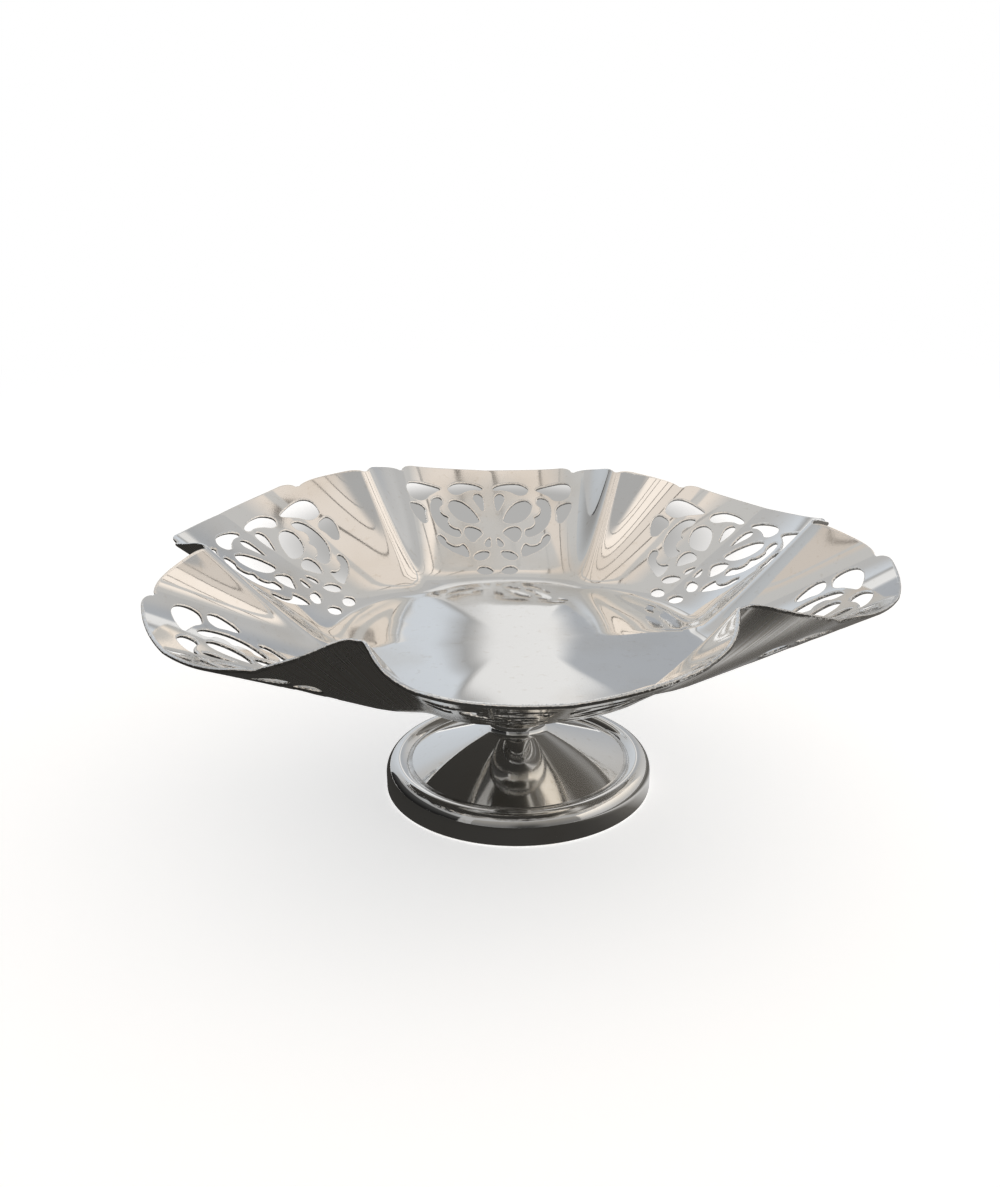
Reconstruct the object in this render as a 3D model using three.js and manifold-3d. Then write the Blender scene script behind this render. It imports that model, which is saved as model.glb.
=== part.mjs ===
// Footed bonbon dish in polished silver plate: a pressed and pierced sheet bowl with six lobes and six
// raised ridges between them, soldered onto a spun trumpet foot that stands in a moulded foot band.
// Millimetres, +Z up. The origin is the centre of the foot band's standing face.

import * as THREE from 'three';
import { mergeVertices } from 'three/addons/utils/BufferGeometryUtils.js';
import Module from 'manifold-3d';

// Bowl: driving dimensions
const LOBE_COUNT = 6;
const LOBE_RADIUS = 76;            // axis to the rim in the middle of a lobe
const RIM_HEIGHT = 51.9;           // upper face at the rim in the middle of a lobe
const FLOOR_HEIGHT = 33.2;         // upper face of the flat floor
const BEND_RADIUS = 41;            // middle of the bend between floor and wall
const BEND_HALF_WIDTH = 4;         // plan width of half the bend
const SHEET = 0.9;                 // thickness of the pressed sheet

// Ridges between the lobes
const RIDGE_START_RADIUS = 36;     // where a ridge begins to rise out of the floor
const RIDGE_RISE = 14;             // how far a ridge would stand off the wall at the lobe radius
const RIDGE_HALF_ANGLE = 6.3;      // degrees from the crest to half the ridge's rise
const RIDGE_POWER = 1.65;          // exponent of a ridge's cross-section: less is sharper
const RIDGE_GROWTH = 1.25;         // exponent of a ridge's growth towards the rim
const CREST_ROUND_ANGLE = 0.9;     // degrees over which the crest is rounded off

// Rim outline: how far the sheet is cut back from the lobe radius
const TIP_CUT = 8.1;               // at a ridge's tip
const TIP_POWER = 1.45;            // exponent of the edge's run from the shoulder in to the tip
const SHOULDER_CUT = 0.5;          // at the shoulder beside a ridge
const NOTCH_CUT = 2.7;             // at the notch between shoulder and lobe
const NOTCH_ANGLE = 12;            // degrees from a ridge's crest to its notches
const NOTCH_BLEND_ANGLE = 3;       // degrees over which a lobe's corner rounds into its notch
const SHOULDER_SHARE = 0.52;       // share of the notch angle where the shoulder starts to round off

// The thin sheet is sprung slightly out of true, as a saddle outside the flat middle of the floor
const SADDLE_RISE = 2.3;           // rise at the lobe radius, and drop a quarter turn from it
const SADDLE_AZIMUTH = 124;        // degrees, one of the two raised directions
const FLAT_SHARE = 0.5;            // share of the bend radius inside which the floor stays flat

// Foot: driving dimensions
const FOOT_RADIUS = 29;            // outside of the foot band
const FOOT_WALL = 1;               // thickness of the foot's sheet
const STANDING_WIDTH = 2.6;        // turned-in edge that the dish stands on
const BAND_SIDE = 3.4;             // straight side of the foot band
const BAND_HEIGHT = 6.6;           // top of the foot band's bead
const BEAD_TOP_RADIUS = 26.4;      // where the bead is highest
const BEAD_EASE = 0.6;             // share of the bead's inner side that stays high before it slopes to the crease
const CREASE_RADIUS = 23.6;        // crease between bead and cone
const LEDGE_HEIGHT = 4.6;          // upper face of the ledge that carries the cone
const LEDGE_WIDTH = 3;             // ledge inwards of the crease
const CONE_CLEARANCE = 0.3;        // gap between the cone's edge and the bead
const CONE_TOP_RADIUS = 6.6;       // end of the straight cone
const CONE_TOP_HEIGHT = 11.7;
const NECK_RADIUS = 5.4;
const NECK_HEIGHT = 15;            // where the neck turns straight
const NECK_FLARE = 4.5;            // height of the flare from the neck out to the flange
const SEAT_RADIUS = 12;            // flange at the neck's top, under the bowl's flat floor
const SOLDER = 0.3;                // thickness of a solder layer
const FILLET = 0.7;                // how far the neck's solder runs out past the flange

// Facets
const RING_SEGMENTS = 40;
const PROFILE_SEGMENTS = 3;
const CUTTER_OVERLAP = 1.5;        // how far a piercing cutter passes each face of the sheet
const SLOPE_STEP = 0.05;           // plan distance used to find the sheet's normal

const LOBE_ANGLE = (2 * Math.PI) / LOBE_COUNT;
const radians = THREE.MathUtils.degToRad;

const wasm = await Module();
wasm.setup();

// Materials
const silverPlate = new THREE.MeshStandardMaterial({ color: 0xd6d5d2, metalness: 1, roughness: 0.08 });
const footPlate = new THREE.MeshStandardMaterial({ color: 0xcfceca, metalness: 1, roughness: 0.1 });
const softSolder = new THREE.MeshStandardMaterial({ color: 0xa3a29e, metalness: 1, roughness: 0.42 });

// Boolean helpers

function toSolid(geometry) {
  const plain = geometry.clone();
  plain.deleteAttribute('normal');
  plain.deleteAttribute('uv');
  const merged = mergeVertices(plain, 1e-4);
  return new wasm.Manifold(new wasm.Mesh({
    numProp: 3,
    vertProperties: new Float32Array(merged.attributes.position.array),
    triVerts: new Uint32Array(merged.index.array),
  }));
}

function toGeometry(solid) {
  const mesh = solid.getMesh();
  const geometry = new THREE.BufferGeometry();
  geometry.setAttribute('position', new THREE.BufferAttribute(mesh.vertProperties, mesh.numProp));
  geometry.setIndex(new THREE.BufferAttribute(mesh.triVerts, 1));
  geometry.computeVertexNormals();
  return geometry;
}

// Pressing the blank

// Signed angle to the nearest ridge crest. Ridges lie at whole lobe angles from +X.
function angleFromRidge(azimuth) {
  return azimuth - Math.round(azimuth / LOBE_ANGLE) * LOBE_ANGLE;
}

// Angle from the nearest ridge crest, rounded off at the crest itself.
function angleOffCrest(azimuth) {
  const round = radians(CREST_ROUND_ANGLE);
  return Math.hypot(angleFromRidge(azimuth), round) - round;
}

// A ridge's cross-section, 1 at the crest and 0 in the middle of a lobe: an ogee with a narrow crest.
function ridgeSection(angle) {
  const bell = (a) => 1 / (1 + (a / radians(RIDGE_HALF_ANGLE)) ** RIDGE_POWER);
  const lowest = bell(LOBE_ANGLE / 2);
  return (bell(angle) - lowest) / (1 - lowest);
}

// Height above the floor and slope of the plain wall: level, then a bend, then a straight slope.
function wallAt(radius) {
  const start = BEND_RADIUS - BEND_HALF_WIDTH;
  const width = 2 * BEND_HALF_WIDTH;
  const t = THREE.MathUtils.clamp((radius - start) / width, 0, 1);
  const run = width * (t ** 3 - t ** 4 / 2) + Math.max(0, radius - start - width);
  const steepness = (RIM_HEIGHT - FLOOR_HEIGHT) / (LOBE_RADIUS - BEND_RADIUS);
  return { height: steepness * run, slope: steepness * t * t * (3 - 2 * t) };
}

// Upper face of the pressed sheet over a plan radius and azimuth of the blank.
function upperFace(radius, azimuth) {
  const { height, slope } = wallAt(radius);
  const ridgeShare = Math.max(0, radius - RIDGE_START_RADIUS) / (LOBE_RADIUS - RIDGE_START_RADIUS);
  const lift = ridgeShare ** RIDGE_GROWTH * RIDGE_RISE * ridgeSection(angleOffCrest(azimuth));
  const steepness = Math.hypot(1, slope);
  const r = radius - lift * slope / steepness;
  const saddle = SADDLE_RISE * (r / LOBE_RADIUS) ** 2 * Math.cos(2 * (azimuth - radians(SADDLE_AZIMUTH)));
  const sprung = THREE.MathUtils.smoothstep(r, FLAT_SHARE * BEND_RADIUS, BEND_RADIUS);
  const z = FLOOR_HEIGHT + height + lift / steepness + saddle * sprung;
  return new THREE.Vector3(r * Math.cos(azimuth), r * Math.sin(azimuth), z);
}

function upperFaceAt(x, y) {
  return upperFace(Math.hypot(x, y), Math.atan2(y, x));
}

// Carries every vertex of a flat geometry onto the pressed sheet: x and y are the plan position on the
// blank, and z is the height above its upper face, measured square to the sheet.
function press(geometry) {
  const position = geometry.attributes.position;
  for (let i = 0; i < position.count; i += 1) {
    const [x, y, z] = [position.getX(i), position.getY(i), position.getZ(i)];
    const alongX = upperFaceAt(x + SLOPE_STEP, y).sub(upperFaceAt(x - SLOPE_STEP, y));
    const alongY = upperFaceAt(x, y + SLOPE_STEP).sub(upperFaceAt(x, y - SLOPE_STEP));
    const normal = alongX.cross(alongY).normalize();
    const point = upperFaceAt(x, y).addScaledVector(normal, z);
    position.setXYZ(i, point.x, point.y, point.z);
  }
  return geometry;
}

// Plan radius of the blank's edge: a bracket-shaped edge on each ridge, then a notch, then the lobe.
function blankRadius(azimuth) {
  const angle = Math.abs(angleFromRidge(azimuth));
  const notch = radians(NOTCH_ANGLE);
  if (angle <= notch) {
    const bracket = (TIP_CUT - SHOULDER_CUT) * (1 - angleOffCrest(azimuth) / notch) ** TIP_POWER;
    const round = Math.max(0, angle / notch - SHOULDER_SHARE) / (1 - SHOULDER_SHARE);
    const drop = (NOTCH_CUT - SHOULDER_CUT) * (1 - Math.sqrt(1 - round ** 2));
    return LOBE_RADIUS - SHOULDER_CUT - bracket - drop;
  }
  const share = Math.min(1, (angle - notch) / radians(NOTCH_BLEND_ANGLE));
  return LOBE_RADIUS - NOTCH_CUT * (1 - Math.sqrt(1 - (1 - share) ** 2));
}

// Azimuths of the blank's facets over half a lobe, closer together at the crest and at the notch.
function halfLobeAngles() {
  const notch = radians(NOTCH_ANGLE);
  const lobe = notch + radians(NOTCH_BLEND_ANGLE);
  const onFlank = [0, 0.11, 0.28, SHOULDER_SHARE, 0.78, 0.96].map((share) => share * notch);
  const onCorner = [0, 0.25].map((share) => THREE.MathUtils.lerp(notch, lobe, share));
  const onLobe = [0, 0.5, 1].map((share) => THREE.MathUtils.lerp(lobe, LOBE_ANGLE / 2, share));
  return [...onFlank, ...onCorner, ...onLobe];
}

function rimAzimuths() {
  const half = halfLobeAngles();
  const back = half.slice(1, -1).reverse().map((angle) => LOBE_ANGLE - angle);
  const lobe = [...half, ...back];
  return Array.from({ length: LOBE_COUNT }, (_, k) => lobe.map((a) => a + k * LOBE_ANGLE)).flat();
}

// The flat blank as a closed sheet of rings, from the middle to the cut edge.
function blankGeometry() {
  const azimuths = rimAzimuths();
  const ringShares = [0, 0.5, 1];
  const bend = [-BEND_HALF_WIDTH, 0, BEND_HALF_WIDTH].map((step) => BEND_RADIUS + step);
  const innerRadii = [FLAT_SHARE * BEND_RADIUS, ...bend];
  const vertices = [];
  const faces = [];
  const count = azimuths.length;
  const addFace = (z) => {
    const first = vertices.length / 3;
    vertices.push(0, 0, z);
    const addRing = (radiusAt) => azimuths.forEach((azimuth) => {
      const radius = radiusAt(azimuth);
      vertices.push(radius * Math.cos(azimuth), radius * Math.sin(azimuth), z);
    });
    innerRadii.forEach((radius) => addRing(() => radius));
    const inner = innerRadii.at(-1);
    ringShares.slice(1).forEach((share) => {
      addRing((azimuth) => THREE.MathUtils.lerp(inner, blankRadius(azimuth), share));
    });
    return first;
  };
  const rings = innerRadii.length + ringShares.length - 1;
  const upper = addFace(0);
  const lower = addFace(-SHEET);
  const at = (first, ring, i) => first + 1 + ring * count + (i % count);
  for (let i = 0; i < count; i += 1) {
    faces.push(upper, at(upper, 0, i), at(upper, 0, i + 1));
    faces.push(lower, at(lower, 0, i + 1), at(lower, 0, i));
    for (let ring = 0; ring < rings - 1; ring += 1) {
      const [a, b] = [at(upper, ring, i), at(upper, ring, i + 1)];
      const [c, d] = [at(upper, ring + 1, i), at(upper, ring + 1, i + 1)];
      const shift = lower - upper;
      faces.push(a, c, d, a, d, b);
      faces.push(a + shift, d + shift, c + shift, a + shift, b + shift, d + shift);
    }
    const [e, f] = [at(upper, rings - 1, i), at(upper, rings - 1, i + 1)];
    const [g, h] = [at(lower, rings - 1, i), at(lower, rings - 1, i + 1)];
    faces.push(e, g, h, e, h, f);
  }
  const geometry = new THREE.BufferGeometry();
  geometry.setAttribute('position', new THREE.Float32BufferAttribute(vertices, 3));
  geometry.setIndex(faces);
  return geometry;
}

// Piercing: a spray of petals and leaves on each lobe

// Sizes of the spray in plan, seen on the lobe whose middle points along +Y.
const SPRAY_MARGIN = 5;            // from the lobe's rim to the top of the spray
const SPRAY_HEIGHT = 28.8;
const SPRAY_HALF_WIDTH = 21.7;

// Corners of each opening on the right half of a lobe, in shares of the half width and of the height.
// The left half is its mirror image.
const OPENINGS = {
  brow: [
    [0.060, 0.955], [0.207, 1.000], [0.401, 0.983], [0.484, 0.917],
    [0.429, 0.854], [0.295, 0.892], [0.101, 0.927],
  ],
  bud: [[0.088, 0.688], [0.184, 0.830], [0.147, 0.885], [0.083, 0.861], [0.069, 0.785]],
  petal: [[0.147, 0.566], [0.304, 0.545], [0.456, 0.625], [0.498, 0.722], [0.396, 0.788], [0.230, 0.708]],
  corner: [[0.581, 0.896], [0.866, 0.906], [0.995, 0.826], [0.959, 0.705], [0.811, 0.712], [0.691, 0.812]],
  drop: [[0.783, 0.625], [0.857, 0.656], [0.959, 0.635], [0.931, 0.531], [0.829, 0.455], [0.774, 0.493]],
  scroll: [
    [0.581, 0.781], [0.687, 0.757], [0.724, 0.635], [0.664, 0.486], [0.525, 0.396],
    [0.387, 0.396], [0.433, 0.479], [0.512, 0.562], [0.594, 0.670],
  ],
  calyx: [[0.249, 0.337], [0.341, 0.424], [0.304, 0.500], [0.166, 0.493], [0.129, 0.444]],
  leaf: [[0.313, 0.177], [0.525, 0.222], [0.654, 0.326], [0.581, 0.354], [0.488, 0.278], [0.350, 0.299]],
  frond: [[0.083, 0.247], [0.212, 0.233], [0.253, 0.167], [0.157, 0.149], [0.078, 0.201]],
  stem: [[0.046, 0.392], [0.106, 0.333], [0.074, 0.288], [0.037, 0.326]],
  foot: [[0.046, 0.038], [0.120, 0.083], [0.221, 0.062], [0.203, 0.007], [0.111, 0.000]],
};

function onSpray([across, up]) {
  const bottom = LOBE_RADIUS - SPRAY_MARGIN - SPRAY_HEIGHT;
  return new THREE.Vector2(across * SPRAY_HALF_WIDTH, bottom + up * SPRAY_HEIGHT);
}

function piercingCutters() {
  const right = Object.values(OPENINGS);
  const left = right.map((corners) => corners.map(([across, up]) => [-across, up]));
  const depth = SHEET + 2 * CUTTER_OVERLAP;
  return Array.from({ length: LOBE_COUNT }, (_, k) => [...right, ...left].map((corners) => {
    const shape = new THREE.Shape(corners.map(onSpray));
    const cutter = new THREE.ExtrudeGeometry(shape, { depth, bevelEnabled: false });
    cutter.translate(0, 0, -SHEET - CUTTER_OVERLAP);
    cutter.rotateZ((k + 0.5) * LOBE_ANGLE - Math.PI / 2);
    return toSolid(press(cutter));
  })).flat();
}

function bowlGeometry() {
  const sheet = toSolid(press(blankGeometry()));
  return toGeometry(sheet.subtract(wasm.Manifold.union(piercingCutters())));
}

// Foot

// Turns a closed profile of [radius, height] points about +Z.
function turned(points) {
  const profile = [...points, points[0]].map(([r, z]) => new THREE.Vector2(r, z));
  const lathe = new THREE.LatheGeometry(profile, RING_SEGMENTS);
  lathe.rotateX(Math.PI / 2);
  return toGeometry(toSolid(lathe));
}

function sampled(path, divisions) {
  return path.getPoints(divisions).map((point) => [point.x, point.y]);
}

// The same open profile, moved square to itself by a distance to the left of its direction.
function offsetProfile(points, distance) {
  return points.map(([r, z], i) => {
    const [r0, z0] = points[Math.max(0, i - 1)];
    const [r1, z1] = points[Math.min(points.length - 1, i + 1)];
    const length = Math.hypot(r1 - r0, z1 - z0);
    return [r - distance * (z1 - z0) / length, z + distance * (r1 - r0) / length];
  });
}

const seatTop = FLOOR_HEIGHT - SHEET - SOLDER;
const coneFootRadius = CREASE_RADIUS - CONE_CLEARANCE;
const coneFootHeight = LEDGE_HEIGHT + SOLDER;

// Spun trumpet: straight cone, drawn in to the neck and flared out to the flange under the bowl.
function footConeGeometry() {
  const seatUnder = seatTop - FOOT_WALL;
  const coneSlope = (CONE_TOP_HEIGHT - coneFootHeight) / (coneFootRadius - CONE_TOP_RADIUS);
  const bendHeight = CONE_TOP_HEIGHT + coneSlope * (CONE_TOP_RADIUS - NECK_RADIUS);
  const outside = new THREE.Path();
  outside.moveTo(coneFootRadius, coneFootHeight);
  outside.lineTo(CONE_TOP_RADIUS, CONE_TOP_HEIGHT);
  outside.quadraticCurveTo(NECK_RADIUS, bendHeight, NECK_RADIUS, NECK_HEIGHT);
  outside.lineTo(NECK_RADIUS, seatUnder - NECK_FLARE);
  const flareRadius = SEAT_RADIUS - NECK_RADIUS;
  outside.absellipse(SEAT_RADIUS, seatUnder - NECK_FLARE, flareRadius, NECK_FLARE, Math.PI, Math.PI / 2, true, 0);
  const outer = sampled(outside, PROFILE_SEGMENTS);
  const inner = offsetProfile(outer, FOOT_WALL);
  const footInset = FOOT_WALL * Math.hypot(1, coneSlope) / coneSlope;
  inner[0] = [coneFootRadius - footInset, coneFootHeight];
  inner[inner.length - 1] = [SEAT_RADIUS, seatTop];
  return turned([...outer, ...inner.reverse()]);
}

// Moulded band: turned-in standing edge, straight side, rounded bead and the ledge under the cone.
function footBandGeometry() {
  const outside = new THREE.Path();
  outside.moveTo(FOOT_RADIUS, BAND_SIDE);
  const [shoulder, rise] = [FOOT_RADIUS - BEAD_TOP_RADIUS, BAND_HEIGHT - BAND_SIDE];
  outside.absellipse(BEAD_TOP_RADIUS, BAND_SIDE, shoulder, rise, 0, Math.PI / 2, false, 0);
  const inward = BEAD_TOP_RADIUS - CREASE_RADIUS;
  outside.quadraticCurveTo(BEAD_TOP_RADIUS - BEAD_EASE * inward, BAND_HEIGHT, CREASE_RADIUS, LEDGE_HEIGHT);
  const bead = sampled(outside, PROFILE_SEGMENTS);
  const ledgeRadius = CREASE_RADIUS - LEDGE_WIDTH;
  const outer = [[FOOT_RADIUS, 0], ...bead, [ledgeRadius, LEDGE_HEIGHT]];
  const under = [
    [ledgeRadius, LEDGE_HEIGHT - FOOT_WALL],
    [CREASE_RADIUS + FOOT_WALL, LEDGE_HEIGHT - FOOT_WALL],
    ...offsetProfile(bead, FOOT_WALL).slice(1, -2).reverse(),
    [FOOT_RADIUS - FOOT_WALL, BAND_SIDE],
    [FOOT_RADIUS - FOOT_WALL, FOOT_WALL],
    [FOOT_RADIUS - STANDING_WIDTH, FOOT_WALL],
    [FOOT_RADIUS - STANDING_WIDTH, 0],
  ];
  return turned([...outer, ...under]);
}

// Solder layers: between the neck's flange and the bowl, and between the cone's edge and its ledge.
function neckSolderGeometry() {
  const under = FLOOR_HEIGHT - SHEET;
  return turned([
    [NECK_RADIUS, seatTop],
    [SEAT_RADIUS, seatTop],
    [SEAT_RADIUS + FILLET, under],
    [NECK_RADIUS, under],
  ]);
}

function bandSolderGeometry() {
  const innerRadius = coneFootRadius - FOOT_WALL;
  return turned([
    [innerRadius, LEDGE_HEIGHT],
    [coneFootRadius, LEDGE_HEIGHT],
    [coneFootRadius, coneFootHeight],
    [innerRadius, coneFootHeight],
  ]);
}

// Assembly

function piece(name, geometry, material) {
  const mesh = new THREE.Mesh(geometry, material);
  mesh.name = name;
  return mesh;
}

const foot = new THREE.Group();
foot.add(
  piece('foot_band', footBandGeometry(), footPlate),
  piece('band_solder', bandSolderGeometry(), softSolder),
  piece('foot_cone', footConeGeometry(), footPlate),
  piece('neck_solder', neckSolderGeometry(), softSolder),
);

const dish = new THREE.Group();
dish.add(foot, piece('bowl', bowlGeometry(), silverPlate));

export default dish;
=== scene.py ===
"""Footed bonbon dish in polished silver plate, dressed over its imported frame.

The bowl is laid out as a flat, pierced blank and carried onto the pressed form. The foot's pieces are turned
from profiles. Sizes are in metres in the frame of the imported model: +Z up, standing on z = 0.
"""

import logging
import math
from dataclasses import dataclass, field
from enum import Enum

import bmesh
import bpy
import numpy as np
from bmesh.types import BMEdge, BMesh, BMFace, BMVert
from mathutils import Matrix, Vector


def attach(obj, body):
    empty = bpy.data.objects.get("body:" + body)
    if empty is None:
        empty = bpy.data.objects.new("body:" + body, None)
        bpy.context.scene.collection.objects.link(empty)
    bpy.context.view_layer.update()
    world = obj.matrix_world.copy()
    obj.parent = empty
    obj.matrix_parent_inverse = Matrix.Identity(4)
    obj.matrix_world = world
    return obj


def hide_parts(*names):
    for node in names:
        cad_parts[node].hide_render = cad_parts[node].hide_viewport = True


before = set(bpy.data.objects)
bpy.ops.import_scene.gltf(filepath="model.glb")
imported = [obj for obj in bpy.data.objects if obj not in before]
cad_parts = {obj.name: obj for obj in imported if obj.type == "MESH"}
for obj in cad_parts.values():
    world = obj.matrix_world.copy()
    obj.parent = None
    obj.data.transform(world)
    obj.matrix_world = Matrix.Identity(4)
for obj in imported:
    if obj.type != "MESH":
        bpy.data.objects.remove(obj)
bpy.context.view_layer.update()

LOG = logging.getLogger("bonbon_dish")
LAYOUT = 1000.0  # layout units per metre: blanks and profiles are laid out in millimetres

Array = np.ndarray
Piece = bpy.types.Object
Finish = bpy.types.Material
Socket = bpy.types.NodeSocket
Pair = tuple[float, float]
Triple = tuple[float, float, float]
Colour = tuple[float, float, float, float]
Stops = tuple[tuple[float, Colour], ...]


class Slot(Enum):
    """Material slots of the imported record."""

    BOWL = "bowl_plate"
    FOOT = "foot_plate"
    SOLDER = "solder"


class Layer(Enum):
    """Names of the mesh layers that carry more than a position."""

    FACING = "facing"
    # Undersides of the flutes: unpolished metal, with painted shade in its darker colour
    FLUTE_DULL_AND_SHADE = "flute_dull_and_shade"
    ACROSS = "flute_across"
    EDGE = "sawn_edge"
    BOARD = "tone"


def portion(value: Array, start: float, end: float) -> Array:
    """How far a value has come from start to end, from 0 to 1."""
    return np.clip((value - start) / (end - start), 0.0, 1.0)


def eased(share: Array) -> Array:
    """A share that leaves 0 and reaches 1 gently."""
    return share * share * (3.0 - 2.0 * share)


def unit(rows: Array) -> Array:
    """The rows as directions of length 1."""
    return rows / np.linalg.norm(rows, axis=1, keepdims=True)


def bearing(x: Array, y: Array) -> tuple[Array, Array]:
    """Azimuths and plan radii of plan points."""
    return np.arctan2(y, x), np.hypot(x, y)


def polar(radius: Array, azimuth: Array) -> Array:
    """Rows of plan x and y at plan radii and azimuths."""
    return np.stack([radius * np.cos(azimuth), radius * np.sin(azimuth)], axis=-1)


@dataclass(frozen=True)
class PressedForm:
    """Shape that the press gives the sheet.

    It has a flat floor, a bend, a sloping wall, ridges between the lobes and a slight saddle. Angles are in
    radians and lengths in millimetres, the units of the blank's layout.
    """

    lobes: int = 6
    lobe_radius: float = 76.0
    rim_height: float = 51.9
    floor_height: float = 33.2
    bend_radius: float = 41.0
    bend_half_width: float = 4.0
    sheet: float = 0.9
    ridge_start: float = 36.0
    ridge_rise: float = 14.0
    ridge_half_angle: float = math.radians(6.3)
    ridge_power: float = 1.65
    ridge_growth: float = 1.25
    crest_round: float = math.radians(0.9)
    crease_start: float = 8.0
    crease_rise: float = 0.22
    crease_half_angle: float = math.radians(9.0)
    saddle_rise: float = 2.3
    saddle_azimuth: float = math.radians(124.0)
    slope_step: float = 0.01

    @property
    def lobe_angle(self) -> float:
        """Angle that one lobe takes up."""
        return 2.0 * math.pi / self.lobes

    def from_ridge(self, azimuth: Array) -> Array:
        """Signed angle from the nearest ridge crest."""
        return azimuth - np.round(azimuth / self.lobe_angle) * self.lobe_angle

    def off_crest(self, azimuth: Array) -> Array:
        """Angle from the nearest ridge crest, rounded off at the crest itself."""
        return np.hypot(self.from_ridge(azimuth), self.crest_round) - self.crest_round

    def ridge_section(self, angle: Array, half_angle: float) -> Array:
        """Height of a ridge across its width.

        Args:
            angle: angles from the crest.
            half_angle: the angle at which the ridge has lost half its height.

        Returns:
            The heights, 1 at the crest and 0 in the middle of a lobe.
        """
        lowest = 1.0 / (1.0 + (self.lobe_angle / 2.0 / half_angle) ** self.ridge_power)
        bell = 1.0 / (1.0 + (angle / half_angle) ** self.ridge_power)
        return (bell - lowest) / (1.0 - lowest)

    def ridge_share(self, radius: Array) -> Array:
        """How far a ridge has grown at a plan radius, 0 where it starts and 1 at the lobe radius."""
        return np.maximum(0.0, radius - self.ridge_start) / (self.lobe_radius - self.ridge_start)

    def wall(self, radius: Array) -> tuple[Array, Array]:
        """Height above the floor and slope of the plain wall under the ridges.

        Args:
            radius: plan radii.

        Returns:
            The heights and the slopes there.
        """
        start, width = self.bend_radius - self.bend_half_width, 2.0 * self.bend_half_width
        t = portion(radius, start, start + width)
        run = width * (t**3 - t**4 / 2.0) + np.maximum(0.0, radius - start - width)
        steepness = (self.rim_height - self.floor_height) / (self.lobe_radius - start - width / 2.0)
        return steepness * run, steepness * eased(t)

    def upper_face(self, x: Array, y: Array) -> Array:
        """Points of the sheet's upper face.

        Args:
            x: plan positions on the blank.
            y: plan positions on the blank.

        Returns:
            One row of x, y and z for each position.
        """
        azimuth, radius = bearing(x, y)
        angle = self.off_crest(azimuth)
        height, slope = self.wall(radius)
        grown = self.ridge_share(radius) ** self.ridge_growth
        lift = grown * self.ridge_rise * self.ridge_section(angle, self.ridge_half_angle)
        creased = eased(portion(radius, self.crease_start, self.ridge_start))
        lift = lift + self.crease_rise * creased * self.ridge_section(angle, self.crease_half_angle)
        steep = np.hypot(1.0, slope)
        r = radius - lift * slope / steep
        sprung = eased(portion(r, self.bend_radius / 2.0, self.bend_radius)) * (r / self.lobe_radius) ** 2
        saddle = self.saddle_rise * sprung * np.cos(2.0 * (azimuth - self.saddle_azimuth))
        return np.column_stack([polar(r, azimuth), self.floor_height + height + lift / steep + saddle])

    def press(self, flat: Array, facing: Array) -> tuple[Array, Array]:
        """Carries points of the flat blank onto the pressed sheet.

        Args:
            flat: rows of plan x, plan y and height above the blank's upper face.
            facing: outward directions on the flat blank.

        Returns:
            The pressed points and their outward directions.
        """
        x, y, z = flat.T
        step = self.slope_step
        along_x = (self.upper_face(x + step, y) - self.upper_face(x - step, y)) / (2.0 * step)
        along_y = (self.upper_face(x, y + step) - self.upper_face(x, y - step)) / (2.0 * step)
        normal = np.cross(along_x, along_y)
        area = np.linalg.norm(normal, axis=1, keepdims=True)
        normal = normal / area
        points = self.upper_face(x, y) + normal * z[:, None]
        turned = facing[:, :1] * np.cross(along_y, normal) / area
        turned = turned + facing[:, 1:2] * np.cross(normal, along_x) / area + facing[:, 2:] * normal
        return points, unit(turned)


@dataclass(frozen=True)
class RimOutline:
    """Edge of the blank: drawn in on each ridge, a notch on each side of it, and an arc on each lobe."""

    form: PressedForm
    tip_cut: float = 8.1
    tip_power: float = 1.45
    shoulder_cut: float = 0.5
    notch_cut: float = 2.7
    notch_angle: float = math.radians(12.0)
    notch_blend: float = math.radians(3.0)
    shoulder_share: float = 0.52
    edge_step: float = math.radians(0.12)

    def radius(self, azimuth: Array) -> Array:
        """Plan radius of the edge.

        Args:
            azimuth: where on the edge.

        Returns:
            The radius at each azimuth.
        """
        angle = np.abs(self.form.from_ridge(azimuth))
        share = portion(self.form.off_crest(azimuth), 0.0, self.notch_angle)
        rounded = portion(angle / self.notch_angle, self.shoulder_share, 1.0)
        bracket = self.shoulder_cut + (self.tip_cut - self.shoulder_cut) * (1.0 - share) ** self.tip_power
        bracket = bracket + (self.notch_cut - self.shoulder_cut) * (1.0 - np.sqrt(1.0 - rounded**2))
        blend = portion(angle - self.notch_angle, 0.0, self.notch_blend)
        lobe = self.notch_cut * (1.0 - np.sqrt(1.0 - (1.0 - blend) ** 2))
        return self.form.lobe_radius - np.where(angle < self.notch_angle, bracket, lobe)

    def points(self, azimuth: Array, inset: float) -> Array:
        """Plan points of the edge, moved into the sheet.

        Args:
            azimuth: where on the edge.
            inset: distance into the sheet, square to the edge.

        Returns:
            One row of plan x and y for each azimuth.
        """
        before, here, after = (polar(self.radius(at), at) for at in (
            azimuth - self.edge_step, azimuth, azimuth + self.edge_step))
        along = unit(after - before)
        return here + inset * np.stack([-along[:, 1], along[:, 0]], axis=-1)


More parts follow.
